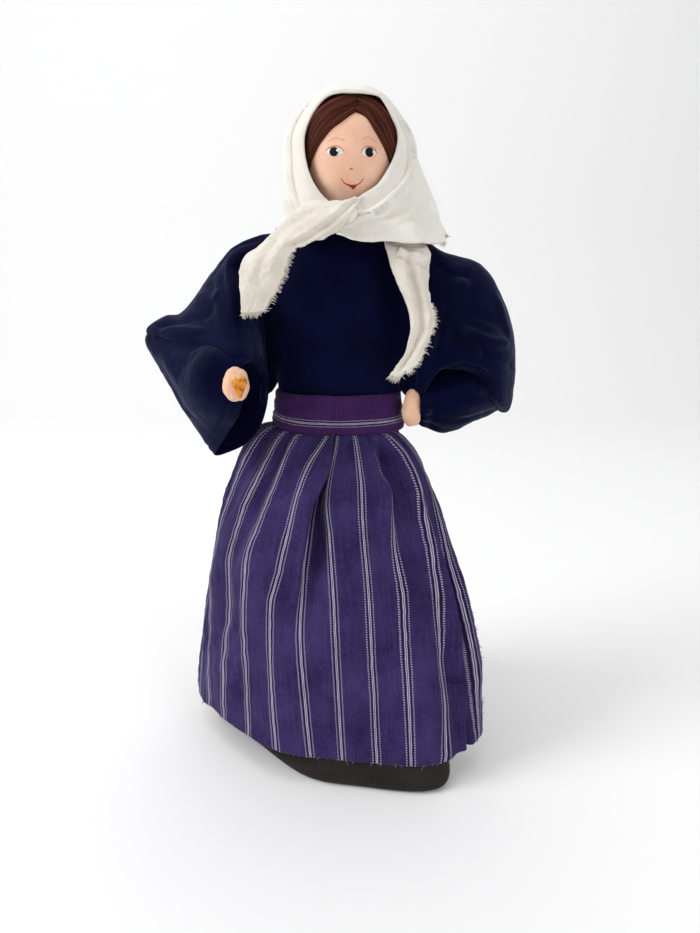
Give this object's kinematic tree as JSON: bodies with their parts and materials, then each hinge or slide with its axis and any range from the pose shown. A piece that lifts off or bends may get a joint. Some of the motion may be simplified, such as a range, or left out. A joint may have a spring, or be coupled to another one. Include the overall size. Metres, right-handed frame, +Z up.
{
  "type": "costume doll",
  "caption": "Standing cloth costume doll on a weighted board, in a headscarf, dark blouse, long skirt and striped apron, with bendable wire arms.",
  "frame": {"origin": "on the flat underside of the felt sole, on the vertical axis of the waist", "axes": "+Z up along the doll's height, front towards -Y, +X towards the doll's left hand"},
  "size_m": [0.1419, 0.0968, 0.2503],
  "materials": {
    "sole_felt": "matte felt",
    "board_wood": "bare plywood",
    "dowel_wood": "bare turned wood",
    "wadding": "cotton wadding wrapped in thread",
    "skirt_cloth": "coarse matte wool weave",
    "apron_cloth": "striped cotton weave",
    "band_cloth": "striped cotton weave",
    "blouse_cloth": "fine smooth weave with a soft sheen",
    "kerchief_cloth": "plain linen weave with frayed cut edges",
    "face_cloth": "fine knitted jersey, painted features",
    "hand_felt": "soft felted cloth",
    "hair_thread": "laid embroidery thread",
    "arm_wire": "bare annealed wire",
    "peg_wood": "stained wood"
  },
  "bodies": {
    "torso": {"base_sole": "sole_felt", "base_board": "board_wood", "spine_dowel": "dowel_wood", "skirt_stuffing": "wadding", "skirt": "skirt_cloth", "apron": "apron_cloth", "waistband": "band_cloth", "torso_stuffing": "wadding", "bodice": "blouse_cloth", "neck": "face_cloth", "shoulder_wire": "arm_wire", "kerchief_drape": "kerchief_cloth", "kerchief_tail_right": "kerchief_cloth", "kerchief_tail_left": "kerchief_cloth"},
    "head": {"head": "face_cloth", "hair_right": "hair_thread", "hair_left": "hair_thread", "kerchief_hood": "kerchief_cloth", "kerchief_knot": "kerchief_cloth"},
    "right_upper_arm": {"right_upper_arm_wire": "arm_wire", "right_upper_arm_padding": "wadding", "right_sleeve_upper": "blouse_cloth"},
    "right_forearm": {"right_forearm_wire": "arm_wire", "right_forearm_padding": "wadding", "right_hand": "hand_felt", "right_hand_peg": "peg_wood", "right_sleeve_lower": "blouse_cloth"},
    "left_upper_arm": {"left_upper_arm_wire": "arm_wire", "left_upper_arm_padding": "wadding", "left_sleeve_upper": "blouse_cloth"},
    "left_forearm": {"left_forearm_wire": "arm_wire", "left_forearm_padding": "wadding", "left_hand": "hand_felt", "left_sleeve_lower": "blouse_cloth"}
  },
  "joints": [
    {"name": "head_turn", "type": "hinge", "parent": "torso", "child": "head", "pos_m": [0.003, 0, 0.2087], "axis": [0, 0, 1], "range_deg": [-25, 25], "deforming": ["kerchief_drape", "kerchief_tail_right", "kerchief_tail_left"]},
    {"name": "right_shoulder", "type": "hinge", "parent": "torso", "child": "right_upper_arm", "pos_m": [-0.031, 0, 0.189], "axis": [0, 1, 0], "range_deg": [-8, 30], "deforming": ["right_sleeve_upper"]},
    {"name": "right_elbow", "type": "hinge", "parent": "right_upper_arm", "child": "right_forearm", "pos_m": [-0.066, 0.003, 0.158], "axis": [0.5974, 0.5012, -0.626], "range_deg": [-10, 35], "deforming": ["right_sleeve_lower"]},
    {"name": "left_shoulder", "type": "hinge", "parent": "torso", "child": "left_upper_arm", "pos_m": [0.031, 0, 0.189], "axis": [0, -1, 0], "range_deg": [0, 30], "deforming": ["left_sleeve_upper"]},
    {"name": "left_elbow", "type": "hinge", "parent": "left_upper_arm", "child": "left_forearm", "pos_m": [0.057, 0.016, 0.15], "axis": [0.6586, -0.7402, 0.1354], "range_deg": [0, 40], "deforming": ["left_sleeve_lower"]}
  ]
}
